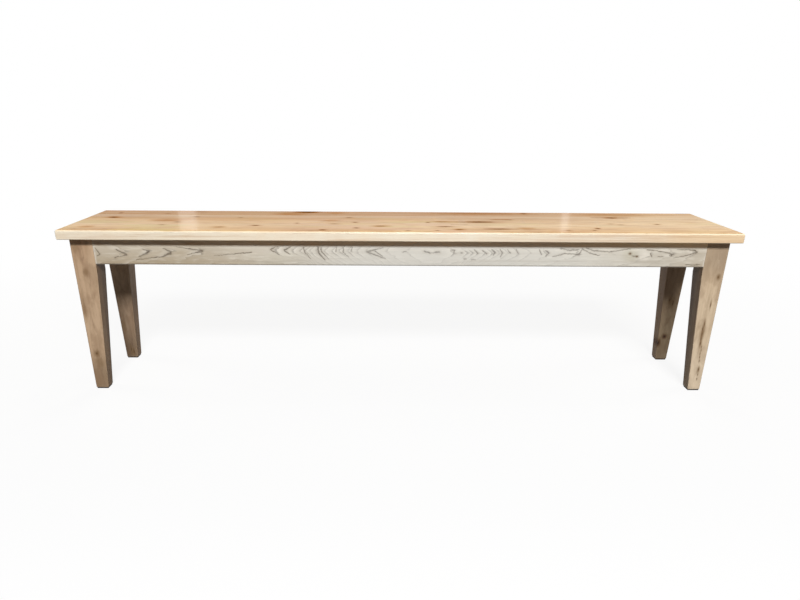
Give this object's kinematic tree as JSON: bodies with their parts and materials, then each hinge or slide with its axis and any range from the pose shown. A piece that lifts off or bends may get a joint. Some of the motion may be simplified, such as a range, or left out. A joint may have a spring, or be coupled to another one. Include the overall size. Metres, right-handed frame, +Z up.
{
  "type": "dining bench",
  "caption": "Long backless dining bench: plank seat on tapered square legs joined by a plain apron frame.",
  "frame": {"origin": "on the floor, below the middle of the seat", "axes": "+X along the bench to its right end, +Y from the front to the back, +Z up"},
  "size_m": [1.8, 0.35, 0.457],
  "materials": {
    "seat_oak": "semi-gloss varnish over honey-coloured rustic oak",
    "apron_oak": "satin, greyed rustic oak with bold open grain",
    "leg_oak": "satin, weathered brown oak",
    "frame_softwood": "bare planed softwood",
    "felt": "dark brown pressed felt",
    "screw_steel": "zinc-plated"
  },
  "bodies": {
    "root": {"apron_back": "apron_oak", "apron_front": "apron_oak", "apron_left": "apron_oak", "apron_right": "apron_oak", "brace_screws": "screw_steel", "button_back_left": "frame_softwood", "button_back_middle": "frame_softwood", "button_back_right": "frame_softwood", "button_end_left": "frame_softwood", "button_end_right": "frame_softwood", "button_front_left": "frame_softwood", "button_front_middle": "frame_softwood", "button_front_right": "frame_softwood", "corner_brace_back_left": "frame_softwood", "corner_brace_back_right": "frame_softwood", "corner_brace_front_left": "frame_softwood", "corner_brace_front_right": "frame_softwood", "cross_rail_1": "frame_softwood", "cross_rail_2": "frame_softwood", "foot_pad_back_left": "felt", "foot_pad_back_right": "felt", "foot_pad_front_left": "felt", "foot_pad_front_right": "felt", "leg_back_left": "leg_oak", "leg_back_right": "leg_oak", "leg_front_left": "leg_oak", "leg_front_right": "leg_oak", "seat_board_back": "seat_oak", "seat_board_back_inner": "seat_oak", "seat_board_front": "seat_oak", "seat_board_front_inner": "seat_oak", "seat_screws": "screw_steel", "seat_tongue_back": "frame_softwood", "seat_tongue_front": "frame_softwood", "seat_tongue_middle": "frame_softwood"}
  },
  "joints": []
}
